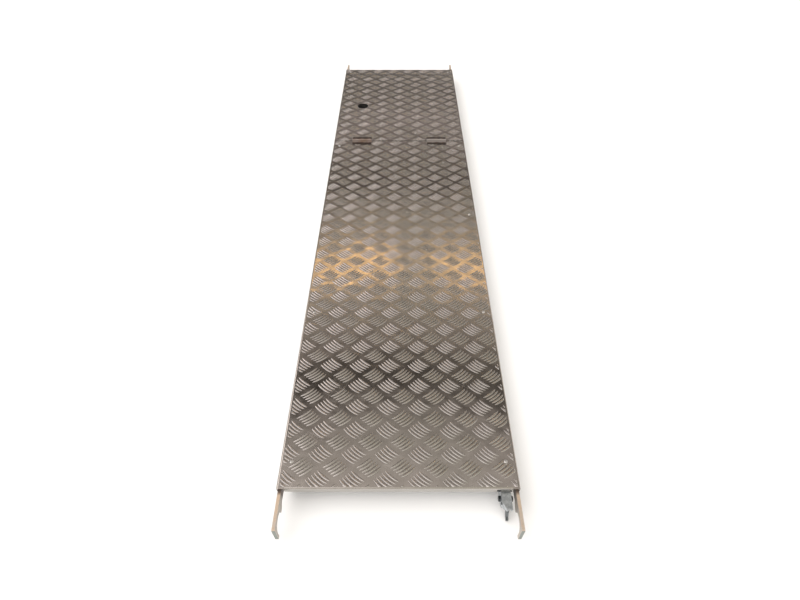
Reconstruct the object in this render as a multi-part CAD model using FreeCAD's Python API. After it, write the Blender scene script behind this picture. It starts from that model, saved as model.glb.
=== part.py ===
"""Aluminium scaffold deck, 0.61 m wide for a 2.57 m bay, with a trapdoor hatch.

Frame: +X to the right across the deck, +Y along it towards the hatch end, +Z up.
The origin is under the middle of the deck, at the level of the side rails' feet.
All sizes are in millimetres.
"""
import FreeCAD, Part
import math
import os
from FreeCAD import Vector

# ---- driving dimensions -------------------------------------------------------------
DECK_WIDTH = 607.0            # tread plate, outside its folded edges
DECK_LENGTH = 2445.0          # plate from the near end to the far end
MAIN_LENGTH = 1655.0          # fixed tread plate
END_STRIP_LENGTH = 70.0       # fixed strip beyond the hatch
SEAM_GAP = 4.0                # open joint at each end of the hatch
DECK_TOP = 90.0               # walking surface above the feet of the rails
SHEET_T = 3.0
HATCH_REST_GAP = 0.3          # the hatch plate is this much thinner than the fixed plate
FOLD_RADIUS = 5.0             # outside radius of every folded edge
SIDE_FLANGE_DEPTH = 15.0
END_FLANGE_DEPTH = 17.0
END_FLANGE_HALF_WIDTH = 284.0  # the end flange stops short of the hooks
PLAN_CORNER_RADIUS = 3.0

RAIL_OUTER_X = 300.1          # outer edge of the rail's top flange
RAIL_INNER_X = 252.0          # inner edge of the rail's top flange
RAIL_WEB_X = 292.1            # outer face of the rail's web
RAIL_WEB_T = 3.0
RAIL_TOP_T = 4.0
RAIL_FOOT_T = 3.5
RAIL_FOOT_X = 262.0           # inner edge of the rail's foot
RAIL_END_TOP = 6.0            # how far the rail's end is set back, at its top
RAIL_END_BOTTOM = 45.0        # and at its foot

BEAM_WALL = 3.0
BEAM_DEPTH = 42.0
BEAM_WIDTH = 40.0
END_BEAM_FROM_END = 72.0      # centre of each end beam, from the plate's end
FASTENING_PITCH = 513.7       # from one row of deck rivets to the next
TRIMMER_LANDING = 10.0        # the hinge beam's ledge under the hatch

HOOK_T = 8.0
HOOK_TOP = 78.0
HOOK_REACH = 96.0             # past the plate's end
HOOK_FRONT_HEIGHT = 59.0
HOOK_TAIL = 150.0             # inboard of the plate's end
HOOK_THROAT_Z = 36.5          # where the back of the throat ends, just under the seat's axis
HOOK_NECK_Z = 48.0            # underside of the neck at the plate's end
SEAT_RADIUS = 24.5            # seat for a 48.3 mm ledger tube
SEAT_FROM_END = 62.5          # seat axis past the plate's end
SEAT_Z = 39.0
HOOK_RIVET_FROM_END = (34.0, 106.0, 134.0)
HOOK_RIVET_Z = (52.0, 64.0, 54.0)
HOOK_RIVET_R = 5.0
HOOK_RIVET_SINK = (8.6, 3.6)  # countersunk head, flush outside: radius, depth
HOOK_RIVET_HEAD = (8.2, 3.8)  # formed head inside: radius, height
SLACK = 0.1                   # radial room round a rivet or bolt

RIVET_R = 3.2
RIVET_HEAD = (5.0, 2.0)       # radius, height
RIVET_TAIL = (4.6, 3.0)
RIVET_X = 275.0

HATCH_HOLE_R = 26.0
HATCH_HOLE_X = -186.5
HATCH_HOLE_Y = 780.5
RIB_DEPTH = 25.0
RIB_WIDTH = 30.0
RIB_WALL = 2.5
RIB_HALF_LENGTH = 240.0
RIB_INSET = (52.0, 62.0)      # rib centres, from the hatch's hinge edge and free edge
STRINGER_X = 105.0

HINGE_X = 173.0
HINGE_LENGTH = 88.0
HINGE_LEAF_WIDTH = 30.0
HINGE_LEAF_T = 2.2
HINGE_AXIS_RISE = 4.5         # pin axis above the walking surface
HINGE_KNUCKLE_R = 4.2
HINGE_PIN_R = 2.0
HINGE_PIN_FIT = 0.05
HINGE_KNUCKLES = 5
HINGE_KNUCKLE_GAP = 0.4
HINGE_RIVET_OFFSET = 21.0     # rivet row from the pin
HINGE_RIVET_PITCH = 29.0
HINGE_RIVET_R = 2.5
HINGE_RIVET_HEAD = (4.0, 1.6)
HINGE_RIVET_TAIL = (3.8, 2.2)

LOCK_X = 268.5                # middle of the lift-off lock's bracket
LOCK_HALF_WIDTH = 12.0
LOCK_SHEET_T = 3.0
LOCK_TOP = 70.0
LOCK_BOTTOM = 32.0
LOCK_STRAIGHT = 24.0          # the bracket is parallel this far past the plate's end
LOCK_NOSE = 43.0              # and ends here
LOCK_NOSE_INNER_X = 266.6     # its inner cheek slants in to here
LOCK_PIVOT = (8.0, 50.0)      # past the plate's end, height
LOCK_BOLT_R = 4.0             # M8
LOCK_BOLT_HEAD = (13.0, 5.3)  # across flats, height
LOCK_NUT = (13.0, 6.5)
LOCK_FIT = 0.05
LOCK_SPACER_R = 9.0
LOCK_SPACER_GAP = 0.3         # between each spacer and the claw
CLAW_X = 273.0                # middle of the claw
CLAW_T = 6.4
CLAW_WEIGHT_X = (262.5, 276.6)
STOP_PIN = (15.6, 9.5, 3.0)   # from the pivot: outward, up; radius
LOCK_FOOT_X = (240.0, 287.0)  # back plate of the bracket
LOCK_RIVETS = ((248.0, 54.0), (248.0, 66.0), (LOCK_X, 57.0))

# ---- derived dimensions -------------------------------------------------------------
HALF_WIDTH = DECK_WIDTH / 2
HALF_LENGTH = DECK_LENGTH / 2
SHEET_UNDER = DECK_TOP - SHEET_T
HATCH_T = SHEET_T - HATCH_REST_GAP
HATCH_UNDER = DECK_TOP - HATCH_T
MAIN_END_Y = -HALF_LENGTH + MAIN_LENGTH
HATCH_START_Y = MAIN_END_Y + SEAM_GAP
STRIP_START_Y = HALF_LENGTH - END_STRIP_LENGTH
HATCH_END_Y = STRIP_START_Y - SEAM_GAP
PIN_Y = MAIN_END_Y + SEAM_GAP / 2
PIN_Z = DECK_TOP + HINGE_AXIS_RISE
RAIL_UNDER_TOP = SHEET_UNDER - RAIL_TOP_T
WEB_INNER_X = RAIL_WEB_X - RAIL_WEB_T
HINGE_BEAM_Y = HATCH_START_Y + TRIMMER_LANDING - BEAM_WIDTH / 2
FIRST_BEARER_Y = -HALF_LENGTH + END_BEAM_FROM_END + FASTENING_PITCH
END_BEAM_Y = HALF_LENGTH - END_BEAM_FROM_END

X_AXIS = Vector(1, 0, 0)
Y_AXIS = Vector(0, 1, 0)
Z_AXIS = Vector(0, 0, 1)
ORIGIN = Vector(0, 0, 0)


# ---- small makers -------------------------------------------------------------------
def box(x0, x1, y0, y1, z0, z1):
    """A box between two corners."""
    return Part.makeBox(x1 - x0, y1 - y0, z1 - z0, Vector(x0, y0, z0))


def rod(radius, start, end):
    """A round bar from one point to another."""
    along = end - start
    return Part.makeCylinder(radius, along.Length, start, along)


def rounded_face(corners, to_point):
    """A flat face from (a, b, radius) corners; to_point turns (a, b) into a point in space."""
    edges = []
    last_end = None
    first_start = None
    count = len(corners)
    for i, (a, b, radius) in enumerate(corners):
        here = Vector(a, b, 0)
        before = Vector(corners[i - 1][0], corners[i - 1][1], 0)
        after = Vector(corners[(i + 1) % count][0], corners[(i + 1) % count][1], 0)
        way_in = (here - before).normalize()
        way_out = (after - here).normalize()
        half_turn = way_in.getAngle(way_out) / 2
        start = here - way_in * (radius * math.tan(half_turn))
        end = here + way_out * (radius * math.tan(half_turn))
        if last_end is not None and (start - last_end).Length > 1e-6:
            edges.append(Part.makeLine(to_point(last_end.x, last_end.y), to_point(start.x, start.y)))
        if radius > 0:
            inward = (way_out - way_in).normalize()
            middle = here + inward * (radius / math.cos(half_turn) - radius)
            arc = Part.Arc(to_point(start.x, start.y), to_point(middle.x, middle.y), to_point(end.x, end.y))
            edges.append(arc.toShape())
        if first_start is None:
            first_start = start
        last_end = end
    if (first_start - last_end).Length > 1e-6:
        edges.append(Part.makeLine(to_point(last_end.x, last_end.y), to_point(first_start.x, first_start.y)))
    return Part.Face(Part.Wire(Part.__sortEdges__(edges)))


def extrude_along_x(corners, x0, x1):
    """A prism whose section is given as (y, z, radius) corners."""
    return rounded_face(corners, lambda a, b: Vector(x0, a, b)).extrude(Vector(x1 - x0, 0, 0))


def extrude_along_y(corners, y0, y1):
    """A prism whose section is given as (x, z, radius) corners."""
    return rounded_face(corners, lambda a, b: Vector(a, y0, b)).extrude(Vector(0, y1 - y0, 0))


def extrude_along_z(corners, z0, z1):
    """A prism whose section is given as (x, y, radius) corners."""
    return rounded_face(corners, lambda a, b: Vector(a, b, z0)).extrude(Vector(0, 0, z1 - z0))


def mirrored(shape):
    """The same shape on the other side of the deck."""
    return shape.mirror(ORIGIN, X_AXIS)


def turned(shape):
    """The same shape at the other end of the deck, on the other side."""
    copy = shape.copy()
    copy.rotate(ORIGIN, Z_AXIS, 180)
    return copy


def group(shapes):
    """Several separate solids in one node."""
    return Part.makeCompound([solid for shape in shapes for solid in shape.Solids])


def rivet(x, y, head_z, grip, shank_r, head, tail):
    """A domed rivet down through a stack that is grip thick; head and tail are (radius, height)."""
    tail_z = head_z - grip
    head_r, head_h = head
    tail_r, tail_h = tail
    outline = [
        Vector(0, 0, tail_z - tail_h),
        Vector(tail_r, 0, tail_z - tail_h),
        Vector(tail_r, 0, tail_z),
        Vector(shank_r, 0, tail_z),
        Vector(shank_r, 0, head_z),
        Vector(head_r, 0, head_z),
    ]
    edges = [Part.makeLine(a, b) for a, b in zip(outline, outline[1:])]
    sphere_r = (head_r ** 2 + head_h ** 2) / (2 * head_h)
    half_angle = math.asin(head_r / sphere_r) / 2
    centre_z = head_z + head_h - sphere_r
    middle = Vector(sphere_r * math.sin(half_angle), 0, centre_z + sphere_r * math.cos(half_angle))
    crown = Vector(0, 0, head_z + head_h)
    edges.append(Part.Arc(outline[-1], middle, crown).toShape())
    edges.append(Part.makeLine(crown, outline[0]))
    solid = Part.Face(Part.Wire(edges)).revolve(ORIGIN, Z_AXIS, 360)
    solid.translate(Vector(x, y, 0))
    return solid


def dome(radius, height, base, direction):
    """A shallow domed head along X; direction is +1 or -1."""
    sphere_r = (radius ** 2 + height ** 2) / (2 * height)
    ball = Part.makeSphere(sphere_r, base + X_AXIS * direction * (height - sphere_r))
    return ball.common(rod(radius + 1, base, base + X_AXIS * direction * (height + 1)))


def hex_prism(across_flats, start, height, direction):
    """A hexagonal prism along X; direction is +1 or -1."""
    corner_r = across_flats / math.sqrt(3)
    points = []
    for i in range(7):
        angle = math.radians(60 * i)
        points.append(start + Vector(0, corner_r * math.cos(angle), corner_r * math.sin(angle)))
    return Part.Face(Part.makePolygon(points)).extrude(Vector(direction * height, 0, 0))


# ---- tread plates -------------------------------------------------------------------
def tray(y0, y1, thickness):
    """A plate with both long edges folded down."""
    bottom = DECK_TOP - SIDE_FLANGE_DEPTH
    under = DECK_TOP - thickness
    inner_x = HALF_WIDTH - thickness
    inner_r = FOLD_RADIUS - thickness
    corners = [
        (-HALF_WIDTH, bottom, 0.6),
        (-HALF_WIDTH, DECK_TOP, FOLD_RADIUS),
        (HALF_WIDTH, DECK_TOP, FOLD_RADIUS),
        (HALF_WIDTH, bottom, 0.6),
        (inner_x, bottom, 0.6),
        (inner_x, under, inner_r),
        (-inner_x, under, inner_r),
        (-inner_x, bottom, 0.6),
    ]
    return extrude_along_y(corners, y0, y1)


def fold_near_end(plate, end_y):
    """Folds the plate's near end down between the hooks and rounds its two corners."""
    half = END_FLANGE_HALF_WIDTH
    room = box(-half, half, end_y - 1, end_y + FOLD_RADIUS, DECK_TOP - SHEET_T - 1, DECK_TOP + 1)
    bottom = DECK_TOP - END_FLANGE_DEPTH
    lip = [
        (end_y, bottom, 0.6),
        (end_y, DECK_TOP, FOLD_RADIUS),
        (end_y + FOLD_RADIUS, DECK_TOP, 0),
        (end_y + FOLD_RADIUS, SHEET_UNDER, 0),
        (end_y + SHEET_T, SHEET_UNDER, FOLD_RADIUS - SHEET_T),
        (end_y + SHEET_T, bottom, 0.6),
    ]
    folded = plate.cut(room).fuse(extrude_along_x(lip, -half, half)).removeSplitter()
    wide = box(-HALF_WIDTH - 1, HALF_WIDTH + 1, end_y, end_y + 60, 0, DECK_TOP + 1)
    rounded = extrude_along_z(
        [
            (-HALF_WIDTH, end_y, PLAN_CORNER_RADIUS),
            (-HALF_WIDTH, end_y + 61, 0),
            (HALF_WIDTH, end_y + 61, 0),
            (HALF_WIDTH, end_y, PLAN_CORNER_RADIUS),
        ],
        0,
        DECK_TOP + 1,
    )
    return folded.cut(wide.cut(rounded))


def pierce(shape, places, radius, z0, z1):
    """Drills upright holes at (x, y) places."""
    for x, y in places:
        shape = shape.cut(rod(radius, Vector(x, y, z0), Vector(x, y, z1)))
    return shape


def deck_rivet_places():
    """Where the fixed plate is riveted to the rails."""
    rows = [-HALF_LENGTH + END_BEAM_FROM_END + FASTENING_PITCH * i for i in range(4)]
    return [(side * RIVET_X, y) for y in rows for side in (-1, 1)]


def strip_rivet_places():
    """Where the end strip is riveted to the rails."""
    y = HALF_LENGTH - END_STRIP_LENGTH / 2
    return [(side * RIVET_X, y) for side in (-1, 1)]


def hinge_rivet_places(side, leaf):
    """Rivet places of one hinge leaf; leaf is -1 on the fixed plate and +1 on the hatch."""
    steps = (-1, 0, 1)
    y = PIN_Y + leaf * HINGE_RIVET_OFFSET
    return [(side * HINGE_X + step * HINGE_RIVET_PITCH, y) for step in steps]


def plate_rivets(places):
    """Rivets through a tread plate and the top flange of a rail."""
    grip = SHEET_T + RAIL_TOP_T
    return group(rivet(x, y, DECK_TOP, grip, RIVET_R, RIVET_HEAD, RIVET_TAIL) for x, y in places)


def main_deck_sheet():
    plate = fold_near_end(tray(-HALF_LENGTH, MAIN_END_Y, SHEET_T), -HALF_LENGTH)
    plate = pierce(plate, deck_rivet_places(), RIVET_R + SLACK, SHEET_UNDER - 1, DECK_TOP + 1)
    places = hinge_rivet_places(-1, -1) + hinge_rivet_places(1, -1)
    return pierce(plate, places, HINGE_RIVET_R + SLACK, SHEET_UNDER - 1, DECK_TOP + 1)


def hatch_sheet():
    plate = tray(HATCH_START_Y, HATCH_END_Y, HATCH_T)
    plate = pierce(plate, [(HATCH_HOLE_X, HATCH_HOLE_Y)], HATCH_HOLE_R, HATCH_UNDER - 1, DECK_TOP + 1)
    places = hinge_rivet_places(-1, 1) + hinge_rivet_places(1, 1)
    return pierce(plate, places, HINGE_RIVET_R + SLACK, HATCH_UNDER - 1, DECK_TOP + 1)


def end_strip_sheet():
    strip = turned(fold_near_end(tray(-HALF_LENGTH, -STRIP_START_Y, SHEET_T), -HALF_LENGTH))
    return pierce(strip, strip_rivet_places(), RIVET_R + SLACK, SHEET_UNDER - 1, DECK_TOP + 1)


# ---- frame --------------------------------------------------------------------------
def hook_rivet_places():
    """(y, z) of the rivets of one near-end hook."""
    return [(-HALF_LENGTH + back, z) for back, z in zip(HOOK_RIVET_FROM_END, HOOK_RIVET_Z)]


def side_rail_right():
    section = [
        (RAIL_INNER_X, SHEET_UNDER, 1.0),
        (RAIL_OUTER_X, SHEET_UNDER, 3.2),
        (RAIL_OUTER_X, RAIL_UNDER_TOP, 0.5),
        (RAIL_WEB_X, RAIL_UNDER_TOP, 1.5),
        (RAIL_WEB_X, 0, 2.0),
        (RAIL_FOOT_X, 0, 1.0),
        (RAIL_FOOT_X, RAIL_FOOT_T, 1.0),
        (WEB_INNER_X, RAIL_FOOT_T, 2.5),
        (WEB_INNER_X, RAIL_UNDER_TOP, 2.5),
        (RAIL_INNER_X, RAIL_UNDER_TOP, 1.0),
    ]
    rail = extrude_along_y(section, -HALF_LENGTH, HALF_LENGTH)
    for end in (-1, 1):
        bevel = [
            (end * (HALF_LENGTH + 1), -1, 0),
            (end * (HALF_LENGTH - RAIL_END_BOTTOM), -1, 0),
            (end * (HALF_LENGTH - RAIL_END_TOP), SHEET_UNDER, 0),
            (end * (HALF_LENGTH - RAIL_END_TOP), SHEET_UNDER + 1, 0),
            (end * (HALF_LENGTH + 1), SHEET_UNDER + 1, 0),
        ]
        rail = rail.cut(extrude_along_x(bevel, RAIL_INNER_X - 1, RAIL_OUTER_X + 1))
        for y, z in hook_rivet_places():
            start = Vector(WEB_INNER_X - 1, -end * y, z)
            hole = rod(HOOK_RIVET_R + SLACK, start, start + X_AXIS * (RAIL_WEB_T + 2))
            rail = rail.cut(hole)
    places = [p for p in deck_rivet_places() + strip_rivet_places() if p[0] > 0]
    return pierce(rail, places, RIVET_R + SLACK, RAIL_UNDER_TOP - 1, SHEET_UNDER + 1)


def cross_beam(centre_y):
    """A rectangular tube between the rails, coped under their top flanges."""
    y0 = centre_y - BEAM_WIDTH / 2
    y1 = centre_y + BEAM_WIDTH / 2
    bottom = SHEET_UNDER - BEAM_DEPTH
    outer = [(y0, bottom, 3.0), (y1, bottom, 3.0), (y1, SHEET_UNDER, 3.0), (y0, SHEET_UNDER, 3.0)]
    tube = extrude_along_x(outer, -WEB_INNER_X, WEB_INNER_X)
    w = BEAM_WALL
    bore = box(-WEB_INNER_X - 1, WEB_INNER_X + 1, y0 + w, y1 - w, bottom + w, SHEET_UNDER - w)
    tube = tube.cut(bore)
    for side in (-1, 1):
        low, high = sorted((side * RAIL_INNER_X, side * (WEB_INNER_X + 1)))
        tube = tube.cut(box(low, high, y0 - 1, y1 + 1, RAIL_UNDER_TOP, SHEET_UNDER + 1))
    for side in (-1, 1):
        low, high = sorted((side * (WEB_INNER_X - 2.5), side * (WEB_INNER_X + 1)))
        tube = tube.cut(box(low, high, y0 - 1, y1 + 1, RAIL_UNDER_TOP - 2.5, SHEET_UNDER))
    return tube


def near_end_beam():
    tube = cross_beam(-END_BEAM_Y)
    front_y = -END_BEAM_Y - BEAM_WIDTH / 2
    for x, z in LOCK_RIVETS:
        start = Vector(x, front_y - 1, z)
        tube = tube.cut(rod(RIVET_R + SLACK, start, start + Y_AXIS * (BEAM_WALL + 2)))
    return tube


def hinge_beam():
    tube = cross_beam(HINGE_BEAM_Y)
    places = hinge_rivet_places(-1, -1) + hinge_rivet_places(1, -1)
    return pierce(tube, places, HINGE_RIVET_R + SLACK, SHEET_UNDER - BEAM_WALL - 1, SHEET_UNDER + 1)


# ---- hooks --------------------------------------------------------------------------
def hook_near_right():
    """A flat steel plate with a half-round tube seat, riveted to the outside of the rail."""
    def out(distance):
        return -HALF_LENGTH - distance

    toe = HOOK_TOP - HOOK_FRONT_HEIGHT
    outline = [
        (out(-HOOK_TAIL), HOOK_TOP, 6.0),
        (out(HOOK_REACH), HOOK_TOP, 4.0),
        (out(HOOK_REACH), toe, 3.0),
        (out(SEAT_FROM_END + SEAT_RADIUS), toe, 3.0),
        (out(SEAT_FROM_END + SEAT_RADIUS), SEAT_Z + SEAT_RADIUS, SEAT_RADIUS),
        (out(SEAT_FROM_END - SEAT_RADIUS), SEAT_Z + SEAT_RADIUS, SEAT_RADIUS),
        (out(SEAT_FROM_END - SEAT_RADIUS), HOOK_THROAT_Z, 2.0),
        (out(30.0), HOOK_THROAT_Z, 5.0),
        (out(14.0), HOOK_NECK_Z, 12.0),
        (out(-8.0), HOOK_NECK_Z, 12.0),
        (out(-26.0), toe + 20.0, 12.0),
        (out(-HOOK_TAIL), toe + 20.0, 10.0),
    ]
    plate = extrude_along_x(outline, RAIL_WEB_X, RAIL_WEB_X + HOOK_T)
    outer_x = RAIL_WEB_X + HOOK_T
    sink_r, sink_depth = HOOK_RIVET_SINK
    for y, z in hook_rivet_places():
        start = Vector(RAIL_WEB_X - 1, y, z)
        plate = plate.cut(rod(HOOK_RIVET_R + SLACK, start, start + X_AXIS * (HOOK_T + 2)))
        mouth = Vector(outer_x - sink_depth, y, z)
        plate = plate.cut(Part.makeCone(HOOK_RIVET_R + SLACK, sink_r + SLACK, sink_depth, mouth, X_AXIS))
    return plate


def hook_rivet(y, z):
    """A solid rivet through a hook and the rail's web."""
    outer_x = RAIL_WEB_X + HOOK_T
    sink_r, sink_depth = HOOK_RIVET_SINK
    neck = Vector(outer_x - sink_depth, y, z)
    inner = Vector(WEB_INNER_X, y, z)
    body = rod(HOOK_RIVET_R, inner, neck).fuse(Part.makeCone(HOOK_RIVET_R, sink_r, sink_depth, neck, X_AXIS))
    return body.fuse(dome(*HOOK_RIVET_HEAD, inner, -1)).removeSplitter()


def hook_rivets():
    """The rivets of all four hooks."""
    near_right = [hook_rivet(y, z) for y, z in hook_rivet_places()]
    near = near_right + [mirrored(s) for s in near_right]
    return group(near + [turned(s) for s in near])


# ---- hinges -------------------------------------------------------------------------
def hinge_leaf(side, leaf):
    """One leaf of a butt hinge; leaf is -1 on the fixed plate and +1 on the hatch."""
    x0 = side * HINGE_X - HINGE_LENGTH / 2
    x1 = x0 + HINGE_LENGTH
    far = PIN_Y + leaf * HINGE_LEAF_WIDTH
    near = PIN_Y + leaf * 0.5
    plate = extrude_along_z(
        [(x0, far, 3.0), (x1, far, 3.0), (x1, near, 0), (x0, near, 0)], DECK_TOP, DECK_TOP + HINGE_LEAF_T
    )
    plate = plate.fuse(rod(HINGE_KNUCKLE_R, Vector(x0, PIN_Y, PIN_Z), Vector(x1, PIN_Y, PIN_Z)))
    step = HINGE_LENGTH / HINGE_KNUCKLES
    first_other = 1 if leaf < 0 else 0
    for k in range(first_other, HINGE_KNUCKLES, 2):
        start = x0 + k * step - HINGE_KNUCKLE_GAP / 2
        end = x0 + (k + 1) * step + HINGE_KNUCKLE_GAP / 2
        start = start - 1 if k == 0 else start
        end = end + 1 if k == HINGE_KNUCKLES - 1 else end
        room = rod(HINGE_KNUCKLE_R + 0.8, Vector(start, PIN_Y, PIN_Z), Vector(end, PIN_Y, PIN_Z))
        plate = plate.cut(room)
        y0, y1 = sorted((PIN_Y - leaf * 2.0, PIN_Y + leaf * 3.0))
        plate = plate.cut(box(start, end, y0, y1, DECK_TOP - 1, PIN_Z))
    bore = rod(HINGE_PIN_R + HINGE_PIN_FIT, Vector(x0 - 1, PIN_Y, PIN_Z), Vector(x1 + 1, PIN_Y, PIN_Z))
    plate = plate.cut(bore).removeSplitter()
    places = hinge_rivet_places(side, leaf)
    return pierce(plate, places, HINGE_RIVET_R + SLACK, DECK_TOP - 1, DECK_TOP + HINGE_LEAF_T + 1)


def hinge_pin(side):
    """A plain pin with a small flat head at each end."""
    x0 = side * HINGE_X - HINGE_LENGTH / 2
    x1 = x0 + HINGE_LENGTH
    reach = HINGE_KNUCKLE_GAP
    pin = rod(HINGE_PIN_R, Vector(x0 - reach, PIN_Y, PIN_Z), Vector(x1 + reach, PIN_Y, PIN_Z))
    for x, way in ((x0 - reach, -1), (x1 + reach, 1)):
        start = Vector(x, PIN_Y, PIN_Z)
        pin = pin.fuse(rod(HINGE_PIN_R + 1.2, start, start + X_AXIS * way * 1.2))
    return pin.removeSplitter()


def hinge_rivets(leaf):
    """The rivets of both hinges, on the fixed side or on the hatch side."""
    if leaf < 0:
        grip = HINGE_LEAF_T + SHEET_T + BEAM_WALL
    else:
        grip = HINGE_LEAF_T + HATCH_T
    places = hinge_rivet_places(-1, leaf) + hinge_rivet_places(1, leaf)
    head_z = DECK_TOP + HINGE_LEAF_T
    size = (HINGE_RIVET_R, HINGE_RIVET_HEAD, HINGE_RIVET_TAIL)
    return group(rivet(x, y, head_z, grip, *size) for x, y in places)


# ---- hatch stiffening ---------------------------------------------------------------
def channel_section(centre):
    """An upright-legged channel, open downwards, under the hatch plate."""
    half = RIB_WIDTH / 2
    bottom = HATCH_UNDER - RIB_DEPTH
    w = RIB_WALL
    return [
        (centre - half, bottom, 0.5),
        (centre - half, HATCH_UNDER, 2.5),
        (centre + half, HATCH_UNDER, 2.5),
        (centre + half, bottom, 0.5),
        (centre + half - w, bottom, 0.5),
        (centre + half - w, HATCH_UNDER - w, 1.0),
        (centre - half + w, HATCH_UNDER - w, 1.0),
        (centre - half + w, bottom, 0.5),
    ]


def rib_y(which):
    """Centre of the rib at the hinge end (0) or at the free end (1)."""
    return HATCH_START_Y + RIB_INSET[0] if which == 0 else HATCH_END_Y - RIB_INSET[1]


def hatch_rib(which):
    return extrude_along_x(channel_section(rib_y(which)), -RIB_HALF_LENGTH, RIB_HALF_LENGTH)


def hatch_stringer(side):
    half = RIB_WIDTH / 2
    return extrude_along_y(channel_section(side * STRINGER_X), rib_y(0) + half, rib_y(1) - half)


# ---- lift-off lock, built at the near right hook ---------------------------------------
def lock_point(outward, z, x=LOCK_X):
    """A point past the plate's near end by outward."""
    return Vector(x, -HALF_LENGTH - outward, z)


def lock_bracket():
    """A folded channel that carries the claw, with a back plate riveted to the end beam."""
    back = -(END_BEAM_FROM_END - BEAM_WIDTH / 2)
    t = LOCK_SHEET_T

    def plan(grow, past_nose):
        half = LOCK_HALF_WIDTH - grow
        y_back = -HALF_LENGTH - (back + grow)
        y_bend = -HALF_LENGTH - LOCK_STRAIGHT
        y_nose = -HALF_LENGTH - LOCK_NOSE
        return [
            (LOCK_X - half, y_back, 0),
            (LOCK_X + half, y_back, 0),
            (LOCK_X + half, y_nose - past_nose, 0),
            (LOCK_NOSE_INNER_X + grow, y_nose - past_nose, 0),
            (LOCK_NOSE_INNER_X + grow, y_nose, 0),
            (LOCK_X - half, y_bend, 4.0),
        ]

    outer = plan(0, 0)
    outer.pop(3)  # at the nose itself two corners fall together
    channel = extrude_along_z(outer, LOCK_BOTTOM, LOCK_TOP)
    channel = channel.cut(extrude_along_z(plan(t, 5.0), LOCK_BOTTOM - 1, LOCK_TOP - t))
    undercut = [
        (-HALF_LENGTH - 14.0, LOCK_BOTTOM - 1, 0),
        (-HALF_LENGTH - LOCK_NOSE - 1, LOCK_BOTTOM - 1, 0),
        (-HALF_LENGTH - LOCK_NOSE - 1, LOCK_TOP - 10.0, 0),
        (-HALF_LENGTH - 32.0, LOCK_BOTTOM + 14.0, 10.0),
    ]
    past = LOCK_HALF_WIDTH + 1
    channel = channel.cut(extrude_along_x(undercut, LOCK_X - past, LOCK_X + past))
    y_back = -HALF_LENGTH - back
    foot = box(*LOCK_FOOT_X, y_back - t, y_back, LOCK_BOTTOM, LOCK_TOP + 3)
    bracket = channel.fuse(foot).removeSplitter()
    for outward, z, radius in (
        (LOCK_PIVOT[0], LOCK_PIVOT[1], LOCK_BOLT_R + SLACK),
        (LOCK_PIVOT[0] + STOP_PIN[0], LOCK_PIVOT[1] + STOP_PIN[1], STOP_PIN[2] + SLACK / 2),
    ):
        start = lock_point(outward, z, LOCK_X - LOCK_HALF_WIDTH - 1)
        bracket = bracket.cut(rod(radius, start, start + X_AXIS * (2 * LOCK_HALF_WIDTH + 2)))
    for x, z in LOCK_RIVETS:
        start = Vector(x, y_back - t - 1, z)
        bracket = bracket.cut(rod(RIVET_R + SLACK, start, start + Y_AXIS * (t + 2)))
    return bracket


def lock_claw():
    """A plate claw that reaches under the ledger tube; its heavy tail swings it shut."""
    p, h = LOCK_PIVOT

    def placed(corners):
        return [(-HALF_LENGTH - p - a, h + b, r) for a, b, r in corners]

    outline = placed([
        (-48.0, -21.5, 5.0),
        (-4.0, 11.5, 10.0),
        (7.0, 10.5, 6.0),
        (27.0, -1.0, 4.0),
        (29.5, -18.0, 10.0),
        (34.0, -29.0, 8.0),
        (40.5, -34.0, 1.5),
        (41.5, -41.5, 2.5),
        (29.0, -41.0, 10.0),
        (17.0, -29.0, 10.0),
        (7.0, -12.0, 6.0),
        (-33.0, -40.0, 5.0),
    ])
    plate = extrude_along_x(outline, CLAW_X - CLAW_T / 2, CLAW_X + CLAW_T / 2)
    weight = placed([(-48.0, -21.5, 5.0), (-24.0, -4.0, 3.0), (-9.5, -23.6, 3.0), (-33.0, -40.0, 5.0)])
    plate = plate.fuse(extrude_along_x(weight, *CLAW_WEIGHT_X))
    start = lock_point(p, h, CLAW_X - CLAW_T)
    return plate.removeSplitter().cut(rod(LOCK_BOLT_R + LOCK_FIT, start, start + X_AXIS * 2 * CLAW_T))


def lock_pivot_bolt():
    across, height = LOCK_BOLT_HEAD
    inner = lock_point(*LOCK_PIVOT, LOCK_X - LOCK_HALF_WIDTH)
    shank = rod(LOCK_BOLT_R, inner, inner + X_AXIS * (2 * LOCK_HALF_WIDTH + LOCK_NUT[1] + 0.8))
    return shank.fuse(hex_prism(across, inner, height, -1)).removeSplitter()


def lock_pivot_nut():
    across, height = LOCK_NUT
    outer = lock_point(*LOCK_PIVOT, LOCK_X + LOCK_HALF_WIDTH)
    bore = rod(LOCK_BOLT_R + SLACK / 2, outer - X_AXIS, outer + X_AXIS * (height + 1))
    return hex_prism(across, outer, height, 1).cut(bore)


def lock_spacers():
    """A ring on each side of the claw; the inner one is longer, as the claw runs near the hook."""
    rings = []
    for way in (-1, 1):
        cheek = lock_point(*LOCK_PIVOT, LOCK_X + way * (LOCK_HALF_WIDTH - LOCK_SHEET_T))
        inner = lock_point(*LOCK_PIVOT, CLAW_X + way * (CLAW_T / 2 + LOCK_SPACER_GAP))
        bore = rod(LOCK_BOLT_R + SLACK / 2, cheek + X_AXIS * way, inner - X_AXIS * way)
        rings.append(rod(LOCK_SPACER_R, cheek, inner).cut(bore))
    return group(rings)


def lock_stop_pin():
    z = LOCK_PIVOT[1] + STOP_PIN[1]
    start = lock_point(LOCK_PIVOT[0] + STOP_PIN[0], z, LOCK_X - LOCK_HALF_WIDTH - 1.5)
    return rod(STOP_PIN[2], start, start + X_AXIS * (2 * LOCK_HALF_WIDTH + 3.0))


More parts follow.
